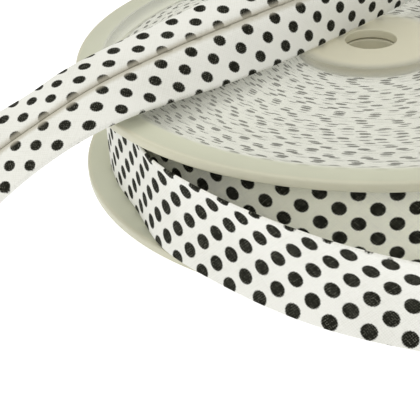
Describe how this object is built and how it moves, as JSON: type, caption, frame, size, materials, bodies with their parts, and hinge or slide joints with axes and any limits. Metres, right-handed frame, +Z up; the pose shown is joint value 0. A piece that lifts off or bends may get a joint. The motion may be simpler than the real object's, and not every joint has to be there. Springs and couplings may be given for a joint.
{
  "type": "reel of bias binding",
  "caption": "Flat plastic reel of folded spotted cotton bias binding, its loose tail looping round the reel and back over the top.",
  "frame": {"origin": "on the reel's axis, at the underside of the lower flange, the surface that the reel lies on; it is also the centre of the whole footprint", "axes": "+Z up along the reel's axis, +X to the right across the loop of the loose tail, +Y to the back"},
  "size_m": [0.1735, 0.1495, 0.0424],
  "materials": {
    "frosted_plastic": "frosted translucent polypropylene, soft sheen",
    "wound_cloth": "edges of tightly wound white cotton with dark spots cut through",
    "tape_cloth": "plain-woven white cotton printed with charcoal spots"
  },
  "bodies": {
    "root": {"lower_flange": "frosted_plastic", "upper_flange": "frosted_plastic", "hub_tube": "frosted_plastic", "wound_tape": "wound_cloth", "loose_tape": "tape_cloth"}
  },
  "joints": []
}
